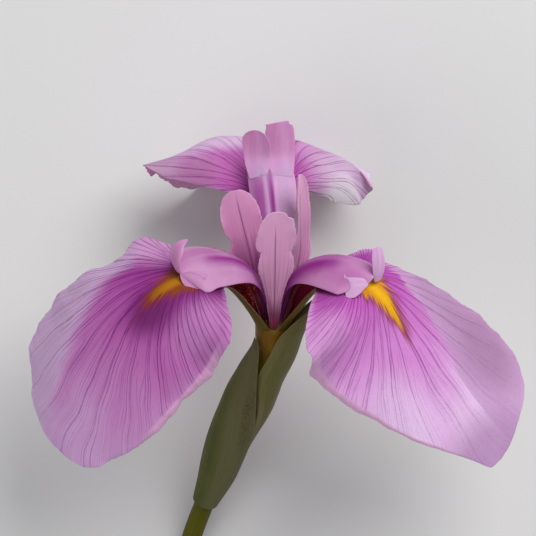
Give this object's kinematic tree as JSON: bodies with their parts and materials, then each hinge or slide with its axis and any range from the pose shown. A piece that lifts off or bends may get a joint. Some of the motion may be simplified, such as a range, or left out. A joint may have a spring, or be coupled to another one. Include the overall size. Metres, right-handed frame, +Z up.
{
  "type": "cut iris flower",
  "caption": "Pink rabbit-ear iris flower cut with its stem and green spathe bracts, lying on its back, with drooping falls, upright standards and arching style arms.",
  "frame": {"origin": "centre of the flower's footprint on the surface it lies on, at that surface", "axes": "+Y from the stem's cut end towards the flower, +Z up from the surface, +X to the flower's right as seen from its front"},
  "size_m": [0.1212, 0.1519, 0.0827],
  "materials": {
    "stem": "smooth olive-green stem with a waxy sheen",
    "tube": "ochre-olive, smooth",
    "spathe": "grey-green, ribbed lengthwise, dark flecks, thin dry edges",
    "fall": "soft satin petal, pink-mauve with purple veins and a golden signal",
    "standard": "soft satin petal, dusty pink with fine veins",
    "style_arm": "satin petal, pale pink with magenta bands beside a light midrib",
    "stamen": "matt, golden pollen"
  },
  "bodies": {
    "root": {"stem": "stem", "ovary_tube": "tube", "spathe_outer": "spathe", "spathe_inner": "spathe", "fall_left": "fall", "fall_right": "fall", "fall_back": "fall", "standard_front": "standard", "standard_left": "standard", "standard_right": "standard", "style_arm_left": "style_arm", "style_arm_right": "style_arm", "style_arm_back": "style_arm", "stamen_left": "stamen", "stamen_right": "stamen", "stamen_back": "stamen"}
  },
  "joints": []
}
